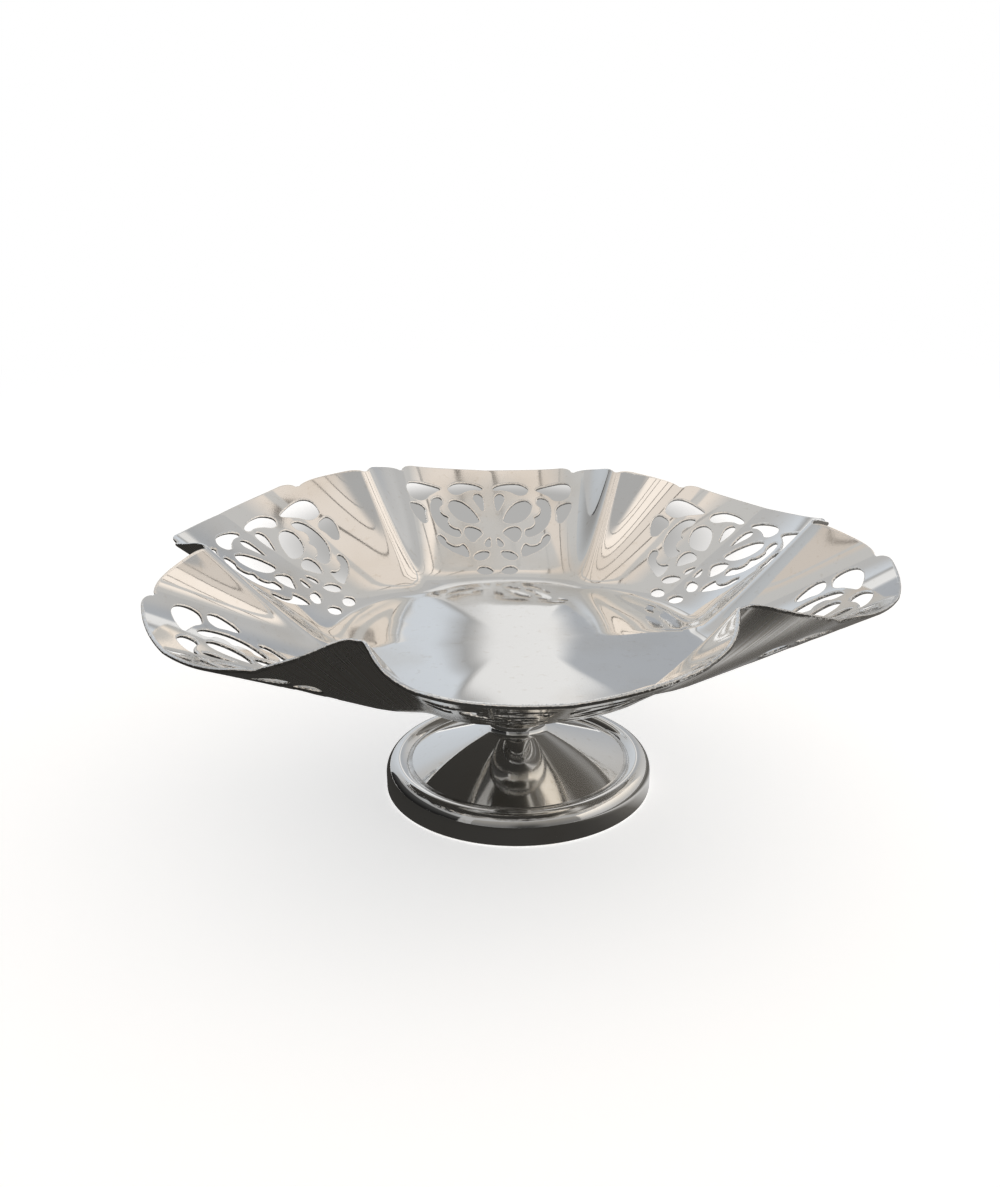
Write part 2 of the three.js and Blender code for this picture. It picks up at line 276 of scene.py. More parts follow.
# Openings on the right half of a lobe, each as points that its edge runs through. A point is a distance from the
# lobe's middle line and a plan radius, in millimetres.
SPRAY_OPENINGS: dict[str, tuple[Pair, ...]] = {
    "brow": ((1.3, 69.7), (3.0, 70.7), (6.0, 71.0), (8.8, 70.4), (10.6, 68.5), (9.8, 66.9), (7.9, 66.8),
        (6.0, 68.1), (3.9, 68.9), (2.0, 68.9)),
    "bud": ((1.9, 62.0), (3.2, 64.0), (4.1, 66.0), (3.7, 67.5), (2.6, 67.8), (1.6, 66.8), (1.4, 64.4)),
    "petal": ((3.2, 58.5), (5.4, 57.8), (7.9, 58.3), (10.0, 60.2), (10.9, 62.8), (9.7, 64.8), (7.2, 64.6),
        (5.0, 62.7), (3.6, 60.4)),
    "corner": ((12.6, 67.9), (15.2, 68.4), (18.8, 68.2), (21.1, 67.0), (21.7, 64.9), (20.7, 62.6), (18.6, 62.3),
        (16.9, 63.2), (15.7, 64.9), (14.1, 66.4)),
    "drop": ((17.0, 60.0), (18.4, 61.1), (20.7, 60.7), (20.9, 58.7), (19.4, 56.3), (17.8, 55.2), (16.8, 56.2),
        (17.0, 58.2)),
    "scroll": ((12.4, 64.3), (13.1, 65.0), (14.5, 64.4), (15.4, 62.8), (15.6, 60.3), (15.1, 57.6), (13.8, 55.3),
        (11.6, 53.6), (9.3, 53.0), (8.2, 53.9), (8.5, 55.5), (9.8, 55.8), (10.9, 56.6), (11.3, 57.8),
        (11.1, 59.0), (12.2, 59.5), (13.0, 60.5), (13.1, 61.8), (12.4, 62.9)),
    "calyx": ((5.4, 51.9), (6.8, 53.2), (7.3, 55.0), (6.7, 56.5), (5.2, 56.8), (3.5, 56.2), (2.7, 55.0),
        (3.9, 53.3)),
    "leaf": ((7.0, 47.2), (8.8, 47.6), (11.2, 48.5), (13.5, 50.0), (14.4, 51.9), (13.7, 52.9), (12.5, 52.2),
        (11.8, 50.9), (10.3, 50.2), (8.9, 50.4), (7.9, 51.1), (7.1, 50.2), (6.6, 48.6)),
    "frond": ((1.7, 49.3), (3.4, 49.3), (5.0, 48.4), (5.5, 47.0), (4.2, 46.4), (2.6, 47.0), (1.6, 48.2)),
    "stem": ((1.0, 53.5), (1.9, 52.7), (2.4, 51.5), (1.9, 50.6), (1.1, 50.8), (0.8, 52.1)),
    "foot": ((1.0, 43.3), (2.2, 44.5), (4.1, 44.5), (5.0, 43.3), (3.9, 42.2), (2.0, 42.2)),
}


@dataclass(frozen=True)
class Spray:
    """Spray of petals and leaves pierced through a lobe."""

    point_steps: int = 4

    def outline(self, through: tuple[Pair, ...]) -> Array:
        """Closed outline of an opening, anticlockwise, bent smoothly through its points.

        Args:
            through: the points.

        Returns:
            One row of plan x and y for each point, on the lobe whose middle lies along +Y.
        """
        here = np.array(through)
        before, after, beyond = (np.roll(here, by, axis=0) for by in (1, -1, -2))
        square = 2.0 * before - 5.0 * here + 4.0 * after - beyond
        cube = 3.0 * here - before - 3.0 * after + beyond
        steps = [0.5 * (2.0 * here + (after - before) * t + square * t**2 + cube * t**3)
                 for t in np.arange(self.point_steps) / self.point_steps]
        curve = np.stack(steps, axis=1).reshape(-1, 2)
        ahead = np.roll(curve, -1, axis=0)
        area = np.sum(curve[:, 0] * ahead[:, 1] - ahead[:, 0] * curve[:, 1])
        return curve if area > 0.0 else curve[::-1]

    def outlines(self, widen: float) -> list[Array]:
        """Outlines of every opening on both halves, each moved into the metal.

        Args:
            widen: how far the outlines are moved into the metal.

        Returns:
            One array of plan points for each opening.
        """
        drawn = []
        for through in SPRAY_OPENINGS.values():
            right = self.outline(through)
            for points in (right, right[::-1] * (-1.0, 1.0)):
                along = unit(np.roll(points, -1, axis=0) - np.roll(points, 1, axis=0))
                drawn.append(points + widen * np.stack([along[:, 1], -along[:, 0]], axis=-1))
        return drawn


@dataclass
class Turning:
    """Closed profile of a turned piece, in radius and height, run with the metal on its left."""

    points: list[Pair] = field(default_factory=list)
    facing: list[Pair] = field(default_factory=list)
    same: float = 1e-6
    weld: float = 1e-5

    def mark(self, r: float, z: float, dr: float, dz: float) -> None:
        """Adds a point, unless the last point is the same.

        Args:
            r: the point's radius.
            z: its height.
            dr: how the outline runs there, along the radius.
            dz: how it runs along the height.
        """
        if self.points and math.dist(self.points[-1], (r, z)) < self.same:
            return
        length = math.hypot(dr, dz)
        self.points.append((r, z))
        self.facing.append((dz / length, -dr / length))

    def line(self, start: Pair, end: Pair, steps: int = 1) -> "Turning":
        """Adds a straight stretch."""
        return self.draw_in(start, ((start[0] + end[0]) / 2.0, (start[1] + end[1]) / 2.0), end, steps)

    def draw_in(self, start: Pair, pull: Pair, end: Pair, steps: int = 14) -> "Turning":
        """Adds a curve.

        Args:
            start: the first point.
            pull: the point that the curve leaves start towards, and comes to end from.
            end: the last point.
            steps: how many straight steps stand for the curve.

        Returns:
            This profile.
        """
        for k in range(steps + 1):
            b = k / steps
            a = 1.0 - b
            r, z = (a * a * s + 2.0 * a * b * p + b * b * e for s, p, e in zip(start, pull, end))
            dr, dz = (a * (p - s) + b * (e - p) for s, p, e in zip(start, pull, end))
            self.mark(r, z, dr, dz)
        return self

    def bow(self, centre: Pair, axes: Pair, a0: float, a1: float, steps: int = 8) -> "Turning":
        """Adds a stretch of an ellipse.

        Args:
            centre: radius and height of the ellipse's centre.
            axes: half axes along the radius and along the height.
            a0: first angle, in degrees from the outward direction.
            a1: last angle.
            steps: how many straight steps stand for the stretch.

        Returns:
            This profile.
        """
        rr, rz = axes
        way = 1.0 if a1 > a0 else -1.0
        for k in range(steps + 1):
            a = math.radians(a0 + (a1 - a0) * k / steps)
            self.mark(centre[0] + rr * math.cos(a), centre[1] + rz * math.sin(a),
                      -way * rr * math.sin(a), way * rz * math.cos(a))
        return self

    def corner(self, centre: Pair, radius: float, a0: float, a1: float, steps: int = 8) -> "Turning":
        """Adds a stretch of a circle."""
        return self.bow(centre, (radius, radius), a0, a1, steps)

    def back_wall(self, wall: float) -> "Turning":
        """Adds the profile so far in reverse, moved in by the wall's thickness."""
        for (r, z), (nr, nz) in reversed(list(zip(self.points, self.facing))):
            self.points.append((r - wall * nr, z - wall * nz))
            self.facing.append((-nr, -nz))
        return self

    def meet(self) -> "Turning":
        """Drops the last point, where the profile meets its own start."""
        del self.points[-1], self.facing[-1]
        return self

    def build(self, name: str, steps: int) -> Piece:
        """Turns the profile about the axis.

        Args:
            name: the new piece's name.
            steps: facets round the axis.

        Returns:
            The new piece.
        """
        bm = bmesh.new()
        layer = bm.verts.layers.float_vector.new(Layer.FACING.value)
        ring = []
        for (r, z), (nr, nz) in zip(self.points, self.facing):
            vert = bm.verts.new((r, 0.0, z))
            vert[layer] = Vector((nr, 0.0, nz))
            ring.append(vert)
        edges = [bm.edges.new((a, b)) for a, b in zip(ring, ring[1:] + ring[:1])]
        bmesh.ops.spin(bm, geom=ring + edges, cent=(0, 0, 0), axis=(0, 0, 1), angle=2 * math.pi,
                       steps=steps, use_merge=True, use_duplicate=False)
        bmesh.ops.remove_doubles(bm, verts=bm.verts, dist=self.weld)
        bmesh.ops.recalc_face_normals(bm, faces=bm.faces)
        bm.verts.ensure_lookup_table()
        co = np.array([v.co for v in bm.verts])
        lie = np.array([v[layer] for v in bm.verts])
        azimuth, _ = bearing(co[:, 0], co[:, 1])
        return finished(name, bm, co, np.column_stack([polar(lie[:, 0], azimuth), lie[:, 2]]))


def finished(name: str, bm: BMesh, points: Array, normals: Array) -> Piece:
    """Makes a smooth-shaded piece of a laid-out mesh.

    Args:
        name: the new piece's name.
        bm: the mesh's faces, in layout units. It is freed.
        points: where the mesh's vertices go, in layout units.
        normals: the surface's true outward directions there.

    Returns:
        The new piece.
    """
    mesh = bpy.data.meshes.new(name)
    bm.to_mesh(mesh)
    bm.free()
    mesh.vertices.foreach_set("co", (points / LAYOUT).astype(np.float32).ravel())
    mesh.polygons.foreach_set("use_smooth", [True] * len(mesh.polygons))
    mesh.update()
    mesh.normals_split_custom_set_from_vertices(normals.tolist())
    piece = bpy.data.objects.new(name, mesh)
    bpy.context.scene.collection.objects.link(piece)
    LOG.info("%s: %d vertices, %d faces", name, len(mesh.vertices), len(mesh.polygons))
    return piece


def everything(bm: BMesh) -> list:
    """Every vertex, edge and face of a mesh."""
    return bm.verts[:] + bm.edges[:] + bm.faces[:]


def only(kind: type, mixed: list) -> list:
    """The elements of one kind out of a mixed list."""
    return [element for element in mixed if isinstance(element, kind)]


@dataclass
class Bowl:
    """The pressed and pierced bowl."""

    form: PressedForm = field(default_factory=PressedForm)
    hole_round: float = 0.32
    rim_round: float = 0.42
    hole_steps: int = 2
    rim_steps: int = 4
    rim_points: int = 145
    rim_margin: float = 2.2  # in rim rounds: how near the outline an open edge belongs to the rim
    ring_pitch: float = 1.5
    lobe_pitch: float = math.radians(1.5)
    crest_pitch: float = math.radians(0.35)
    crest_reach: float = 2.4  # in ridge half angles: where the columns have come to the lobe's pitch
    middle_radius: float = 4.5
    middle_margin: float = 0.1
    flute_angle: float = math.radians(10.0)
    flute_fade: float = 1.8  # in flute angles: where the unpolished metal, darkened partly by painted shade, ends
    flute_growth: float = 4.0
    cut_weld: float = 1e-5
    lobe_weld: float = 1e-3
    seam_weld: float = 1e-4

    def columns(self) -> Array:
        """Azimuths over one lobe, closest together on the ridge crests.

        Returns:
            The azimuths, from one crest to the next.
        """
        middle = self.form.lobe_angle / 2.0
        half = [0.0]
        while half[-1] < middle:
            growth = half[-1] / (self.crest_reach * self.form.ridge_half_angle)
            half.append(half[-1] + self.crest_pitch + (self.lobe_pitch - self.crest_pitch) * min(1.0, growth))
        half = np.array(half) * (middle / half[-1])
        return np.concatenate([half, self.form.lobe_angle - half[-2::-1]])

    def lobe_layout(self, bm: BMesh) -> None:
        """Lays out one lobe of the blank's upper face, unrolled so that azimuth runs along x and radius along y.

        Args:
            bm: the empty mesh to fill.
        """
        form = self.form
        spread = form.lobe_radius
        edge = RimOutline(form).points(np.linspace(0.0, form.lobe_angle, self.rim_points), self.rim_round)
        corners = [(0.0, self.middle_radius), (form.lobe_angle, self.middle_radius)]
        loops = [corners + list(zip(*bearing(*edge[::-1].T)))]
        turn = form.lobe_angle / 2.0 - math.pi / 2.0
        for outline in Spray().outlines(self.hole_round):
            azimuth, radius = bearing(*outline.T)
            loops.append(list(zip(azimuth + turn, radius)))
        edges = []
        for loop in loops:
            verts = [bm.verts.new((azimuth * spread, radius, 0.0)) for azimuth, radius in loop]
            edges += [bm.edges.new(pair) for pair in zip(verts, verts[1:] + verts[:1])]
        bmesh.ops.triangle_fill(bm, use_beauty=True, use_dissolve=True, edges=edges, normal=(0, 0, 1))
        for azimuth in self.columns()[1:-1]:
            self.cut(bm, (azimuth * spread, 0, 0), (1, 0, 0))
        for radius in np.arange(self.middle_radius + self.ring_pitch, form.lobe_radius, self.ring_pitch):
            self.cut(bm, (0, radius, 0), (0, 1, 0))
        for vert in bm.verts:
            azimuth, radius = vert.co.x / spread, vert.co.y
            vert.co = (radius * math.cos(azimuth), radius * math.sin(azimuth), 0.0)

    def cut(self, bm: BMesh, at: Triple, way: Triple) -> None:
        """Cuts every face of a flat mesh along one plane."""
        bmesh.ops.bisect_plane(bm, geom=everything(bm), dist=self.cut_weld, plane_co=at, plane_no=way)

    def upper_blank(self) -> BMesh:
        """Lays out the blank's upper face.

        Returns:
            Every lobe, joined, with the flat middle filled in.
        """
        bm = bmesh.new()
        self.lobe_layout(bm)
        lobe = everything(bm)
        for k in range(1, self.form.lobes):
            verts = only(BMVert, bmesh.ops.duplicate(bm, geom=lobe)["geom"])
            turn = Matrix.Rotation(k * self.form.lobe_angle, 3, "Z")
            bmesh.ops.rotate(bm, verts=verts, cent=(0, 0, 0), matrix=turn)
        bmesh.ops.remove_doubles(bm, verts=bm.verts, dist=self.lobe_weld)
        reach = self.middle_radius + self.middle_margin
        inner = [e for e in bm.edges if e.is_boundary and max(v.co.length for v in e.verts) < reach]
        bmesh.ops.edgeloop_fill(bm, edges=inner)
        bm.normal_update()
        bmesh.ops.reverse_faces(bm, faces=[f for f in bm.faces if f.normal.z < 0.0])
        return bm

    def roll_edge(self, bm: BMesh, edges: list[BMEdge], radius: float, steps: int) -> list:
        """Rolls an open edge of the upper face down to the lower face, with rounded corners.

        Args:
            bm: the blank.
            edges: the open edges.
            radius: radius of the two corners.
            steps: facets in each corner.

        Returns:
            The vertices of the last row, at the lower face.
        """
        layer = bm.verts.layers.float_vector[Layer.FACING.value]
        out = {}
        for edge in edges:
            loop = edge.link_loops[0]
            a, b = loop.vert, loop.link_loop_next.vert
            way = Vector((b.co.y - a.co.y, a.co.x - b.co.x, 0.0)).normalized()
            for vert in (a, b):
                out[vert] = out.get(vert, Vector()) + way
        start = {vert: (vert.co.copy(), way.normalized()) for vert, way in out.items()}
        angles = [math.radians(90.0 * k / steps) for k in range(1, steps + 1)]
        rows = [(math.sin(a), math.cos(a), 1.0) for a in angles]
        rows += [(s, c, -1.0) for s, c, _ in reversed(rows)] + [(0.0, 1.0, -1.0)]
        trail = {vert: vert for vert in start}
        for sine, cosine, half in rows:
            made = bmesh.ops.extrude_edge_only(bm, edges=edges)["geom"]
            edges = only(BMEdge, made)
            fresh = set(only(BMVert, made))
            following = {}
            for root, last in trail.items():
                new = next(e.other_vert(last) for e in last.link_edges if e.other_vert(last) in fresh)
                origin, way = start[root]
                drop = radius * (1.0 - cosine)
                new.co = origin + way * radius * sine
                new.co.z = -drop if half > 0.0 else -self.form.sheet + drop
                new[layer] = way * sine + Vector((0.0, 0.0, half * cosine))
                following[root] = new
            trail = following
        return list(trail.values())

    def build(self) -> Piece:
        """Makes the bowl.

        Returns:
            The new piece.
        """
        form = self.form
        bm = self.upper_blank()
        layer = bm.verts.layers.float_vector.new(Layer.FACING.value)
        for vert in bm.verts:
            vert[layer] = Vector((0.0, 0.0, 1.0))
        open_edges = [e for e in bm.edges if e.is_boundary]
        lower = bmesh.ops.duplicate(bm, geom=everything(bm))["geom"]
        lower_verts = only(BMVert, lower)
        bmesh.ops.translate(bm, verts=lower_verts, vec=(0, 0, -form.sheet))
        for vert in lower_verts:
            vert[layer] = Vector((0.0, 0.0, -1.0))
        bmesh.ops.reverse_faces(bm, faces=only(BMFace, lower))
        rim = RimOutline(form)

        def on_rim(edge: BMEdge) -> bool:
            """Whether an open edge belongs to the rim."""
            middle = (edge.verts[0].co + edge.verts[1].co) / 2.0
            reach = float(rim.radius(np.array([math.atan2(middle.y, middle.x)]))[0])
            return middle.length > reach - self.rim_margin * self.rim_round

        rim_edges = [e for e in open_edges if on_rim(e)]
        hole_edges = [e for e in open_edges if not on_rim(e)]
        seam = self.roll_edge(bm, rim_edges, self.rim_round, self.rim_steps)
        seam += self.roll_edge(bm, hole_edges, self.hole_round, self.hole_steps)
        seam += [v for v in lower_verts if v.is_boundary]
        bmesh.ops.remove_doubles(bm, verts=seam, dist=self.seam_weld)
        bmesh.ops.triangulate(bm, faces=[f for f in bm.faces if len(f.verts) > 4])
        bm.verts.ensure_lookup_table()
        flat = np.array([v.co for v in bm.verts])
        facing = np.array([v[layer] for v in bm.verts])
        piece = finished("bowl_pressed", bm, *form.press(flat, facing))
        azimuth, radius = bearing(flat[:, 0], flat[:, 1])
        angle = form.from_ridge(azimuth)
        # Mask of the flutes' undersides: unpolished, duller metal, and its darker colour is partly painted shade
        # under the bowl
        flute = np.clip(self.flute_fade - np.abs(angle) / self.flute_angle, 0.0, 1.0)
        flute = flute * np.clip(form.ridge_share(radius) * self.flute_growth, 0.0, 1.0)
        flute = flute * np.clip(-facing[:, 2], 0.0, 1.0)
        edge = 1.0 - np.abs(facing[:, 2])
        for kind, values in ((Layer.FLUTE_DULL_AND_SHADE, flute), (Layer.ACROSS, angle * radius), (Layer.EDGE, edge)):
            store = piece.data.attributes.new(kind.value, "FLOAT", "POINT")
            store.data.foreach_set("value", values.astype(np.float32))
        return piece


@dataclass
class Foot:
    """The spun trumpet, the moulded band that it stands in, and the solder that joins them and the bowl."""

    form: PressedForm = field(default_factory=PressedForm)
    radius: float = 29.0
    wall: float = 1.0
    standing_width: float = 2.6
    band_side: float = 3.4
    band_height: float = 6.6
    bead_top: float = 26.4
    bead_ease: float = 0.6
    crease: float = 23.6
    ledge_height: float = 4.6
    ledge_width: float = 3.0
    edge_round: float = 0.3
    cone_clearance: float = 0.08
    cone_top_radius: float = 6.6
    cone_top_height: float = 11.7
    neck_radius: float = 5.4
    neck_height: float = 15.0
    neck_top: float = 26.5
    seat_radius: float = 12.0
    solder: float = 0.3
    fillet: float = 0.7
    fillet_lip: float = 0.04
    fillet_back: float = 0.1
    fillet_bead: Pair = (24.32, 5.62)
    fillet_pull: Pair = (23.82, 5.42)
    fillet_cone: Pair = (23.3, 5.83)
    facets: int = 144

    @property
    def seat_top(self) -> float:
        """Height of the flange's upper face."""
        return self.form.floor_height - self.form.sheet - self.solder

    def build_cone(self) -> Piece:
        """Makes the spun trumpet: a straight cone, a drawn-in neck and a flange under the bowl.

        Returns:
            The new piece.
        """
        half = self.wall / 2.0
        rise = self.cone_top_height - self.ledge_height - self.solder
        run = self.crease - self.cone_clearance - self.cone_top_radius
        slope = rise / run
        lean = math.degrees(math.atan2(rise, -run))
        length = math.hypot(rise, run)
        middle = (self.crease - self.cone_clearance - half, self.ledge_height + self.solder + half)
        foot = (middle[0] + half * rise / length, middle[1] + half * run / length)
        top = (self.cone_top_radius, foot[1] + (foot[0] - self.cone_top_radius) * slope)
        bend = (self.neck_radius, top[1] + (top[0] - self.neck_radius) * slope)
        neck, neck_end = (self.neck_radius, self.neck_height), (self.neck_radius, self.neck_top)
        seat = self.seat_radius - half
        flare = (seat - self.neck_radius, self.seat_top - self.wall - self.neck_top)
        wall = Turning().line(foot, top, steps=6).draw_in(top, bend, neck).line(neck, neck_end, steps=3)
        wall.bow((seat, self.neck_top), flare, 180.0, 90.0, steps=14)
        front = len(wall.points)
        wall.back_wall(self.wall)
        whole = Turning(wall.points[:front], wall.facing[:front])
        whole.corner((seat, self.seat_top - half), half, -90.0, 90.0)
        whole.points += wall.points[front + 1:-1]
        whole.facing += wall.facing[front + 1:-1]
        whole.corner(middle, half, lean + 90.0, lean + 270.0)
        return whole.meet().build("foot_cone_spun", self.facets)

    def build_band(self) -> Piece:
        """Makes the moulded band: standing edge, straight side, bead, and the ledge under the cone.

        Returns:
            The new piece.
        """
        wall, half, ease = self.wall, self.wall / 2.0, self.edge_round
        inner = self.crease - self.ledge_width + ease
        outer = self.crease + wall - ease
        side = self.radius - wall
        low = self.ledge_height - wall
        shoulder, rise = self.radius - self.bead_top, self.band_height - self.band_side
        turned_in = self.radius - self.standing_width + half
        top = (self.bead_top, self.band_height)
        under_top = (self.bead_top, self.band_height - wall)
        crease = (self.crease, self.ledge_height)
        pull = self.bead_top - self.bead_ease * (self.bead_top - self.crease)
        band = Turning().line((turned_in, 0.0), (self.radius - half, 0.0))
        band.corner((self.radius - half, half), half, -90.0, 0.0)
        band.line((self.radius, half), (self.radius, self.band_side))
        band.bow((self.bead_top, self.band_side), (shoulder, rise), 0.0, 90.0, steps=14)
        band.draw_in(top, (pull, self.band_height), crease, steps=16)
        band.line(crease, (inner, self.ledge_height))
        band.corner((inner, self.ledge_height - ease), ease, 90.0, 180.0, steps=4)
        band.corner((inner, low + ease), ease, 180.0, 270.0, steps=4)
        band.line((inner, low), (outer, low))
        band.corner((outer, low + ease), ease, -90.0, 0.0, steps=4)
        band.draw_in((self.crease + wall, low + ease), (pull + half, self.band_height - wall), under_top)
        band.bow((self.bead_top, self.band_side), (shoulder - wall, rise - wall), 90.0, 0.0)
        band.line((side, self.band_side), (side, wall + ease))
        band.corner((side - ease, wall + ease), ease, 0.0, -90.0, steps=4)
        band.line((side - ease, wall), (turned_in, wall))
        band.corner((turned_in, half), half, 90.0, 270.0)
        return band.meet().build("foot_band_moulded", self.facets)

    def build_solder(self) -> list[Piece]:
        """Makes the two solder layers: under the bowl, and between the cone's edge and its ledge.

        Returns:
            The two new pieces, the one under the bowl first.
        """
        ease = self.solder / 2.0
        under = self.form.floor_height - self.form.sheet
        inner = self.neck_radius + ease
        outer = self.seat_radius + self.fillet
        seat = (self.seat_radius - self.wall / 2.0, self.seat_top)
        lip, back = (outer, under - self.fillet_lip), (outer - self.fillet_back, under)
        neck = Turning().line((inner, self.seat_top), seat)
        neck.draw_in(seat, (self.seat_radius + ease, self.seat_top), lip, steps=8)
        neck.draw_in(lip, (outer + self.fillet_lip, under), back, steps=4)
        neck.line(back, (inner, under))
        neck.corner((inner, under - ease), ease, 90.0, 270.0, steps=6)
        low, inside = self.ledge_height, self.crease - self.wall
        crease, edge = (self.crease, low), (self.crease - self.cone_clearance, low + self.wall - ease)
        ring = Turning().line((inside, low), crease).line(crease, self.fillet_bead, steps=3)
        ring.draw_in(self.fillet_bead, self.fillet_pull, self.fillet_cone, steps=12)
        ring.line(self.fillet_cone, edge).line(edge, (inside, low + ease))
        return [neck.meet().build("neck_solder_layer", self.facets), ring.build("band_solder_ring", self.facets)]


def tone(red: float, green: float | None = None, blue: float | None = None) -> Colour:
    """A colour from its three shares, or a plain grey from one."""
    return (red, red if green is None else green, red if blue is None else blue, 1.0)


def stops(*marks: tuple[float, ...]) -> Stops:
    """Colours along a ramp, from rows of a position and the shares that tone takes."""
    return tuple((position, tone(*shares)) for position, *shares in marks)


class Wiring:
    """Node tree of one finish or of the world, built a node at a time."""

    def __init__(self, name: str, world: bool = False) -> None:
        """Starts an empty finish, or an empty world.

        Args:
            name: its name.
            world: whether it is a world.
        """
        self.owner = (bpy.data.worlds if world else bpy.data.materials).new(name)
        self.output = "OutputWorld" if world else "OutputMaterial"
        self.owner.use_nodes = True
        self.tree = self.owner.node_tree
        self.tree.nodes.clear()

    def add(self, kind: str, inputs: dict[str | int, object] | None = None, **settings: object) -> bpy.types.Node:
        """Adds a node.

        Args:
            kind: the node's type, without the prefix that all of them share.
            inputs: what each input holds: a value, or the output that it is linked to.
            settings: the node's own options.

        Returns:
            The new node.
        """
        node = self.tree.nodes.new("ShaderNode" + kind)
        for option, value in settings.items():
            setattr(node, option, value)
        for socket, value in (inputs or {}).items():
            if isinstance(value, Socket):
                self.tree.links.new(value, node.inputs[socket])
            else:
                node.inputs[socket].default_value = value
        return node

    def where(self) -> Socket:
        """Object coordinates."""
        return self.add("TexCoord").outputs["Object"]

    def place(self, scale: Triple = (1.0, 1.0, 1.0), turn: float = 0.0) -> Socket:
        """Object coordinates, stretched and turned about the upright axis."""
        inputs = {"Vector": self.where(), "Rotation": (0.0, 0.0, turn), "Scale": scale}
        return self.add("Mapping", inputs).outputs["Vector"]

    def measure(self, way: str, other: Triple = (0.0, 0.0, 0.0)) -> Socket:
        """One measure of the object coordinates: LENGTH, or DISTANCE or DOT_PRODUCT with another vector."""
        return self.add("VectorMath", {0: self.where(), 1: other}, operation=way).outputs["Value"]

    def layer(self, layer: Layer) -> Socket:
        """Values that a mesh layer carries."""
        return self.add("Attribute", attribute_name=layer.value).outputs["Fac"]

    def spread(self, source: Socket, low: float, high: float, to_low: float = 0.0, to_high: float = 1.0) -> Socket:
        """Spreads one range of a value over another, smoothly and without passing its ends."""
        inputs = {"Value": source, "From Min": low, "From Max": high, "To Min": to_low, "To Max": to_high}
        return self.add("MapRange", inputs, interpolation_type="SMOOTHSTEP").outputs["Result"]

    def grain(self, place: Socket, scale: float, detail: float) -> Socket:
        """Cloudy noise over a surface."""
        return self.add("TexNoise", {"Vector": place, "Scale": scale, "Detail": detail}).outputs["Fac"]

    def sum(self, first: object, second: object, way: str = "ADD") -> Socket:
        """Joins two values by one step of arithmetic."""
        return self.add("Math", {0: first, 1: second}, operation=way).outputs[0]

    def blend(self, share: object, first: object, second: object) -> Socket:
        """Mixes two colours by a share."""
        return self.add("Mix", {0: share, 6: first, 7: second}, data_type="RGBA").outputs[2]

    def ramp(self, source: Socket, low: float, high: float, colours: Stops) -> Socket:
        """Colours that follow one another over a range of a value.

        Args:
            source: the value.
            low: the value at position 0.
            high: the value at position 1.
            colours: each colour's position and the colour.

        Returns:
            The colour.
        """
        along = self.add("MapRange", {"Value": source, "From Min": low, "From Max": high})
        node = self.add("ValToRGB", {"Fac": along.outputs["Result"]})
        marks = node.color_ramp.elements
        while len(marks) < len(colours):
            marks.new(1.0)
        for mark, (position, colour) in zip(marks, colours):
            mark.position, mark.color = position, colour
        return node.outputs["Color"]

    def dent(self, height: Socket, depth: float, under: Socket | None = None) -> Socket:
        """Bumps the surface by a height, over another bump if one is given."""
        inputs = {"Strength": 1.0, "Distance": depth, "Height": height}
        if under is not None:
            inputs["Normal"] = under
        return self.add("Bump", inputs).outputs["Normal"]

    def glow(self, colour: object, strength: object = 1.0) -> Socket:
        """A shader that gives off light."""
        return self.add("Emission", {"Color": colour, "Strength": strength}).outputs[0]

    def mix(self, share: Socket, first: Socket, second: Socket) -> Socket:
        """Mixes two shaders by a share."""
        return self.add("MixShader", {0: share, 1: first, 2: second}).outputs[0]

    def metal(self, colour: Socket, rough: Socket, normal: Socket) -> Finish:
        """Makes the whole finish a metal."""
        inputs = {"Base Color": colour, "Metallic": 1.0, "Roughness": rough, "Normal": normal}
        return self.close(self.add("BsdfPrincipled", inputs).outputs[0])

    def close(self, shader: Socket) -> Finish | bpy.types.World:
        """Puts the shader on the surface and hands over the finish or the world."""
        self.add(self.output, {"Surface": shader})
        return self.owner


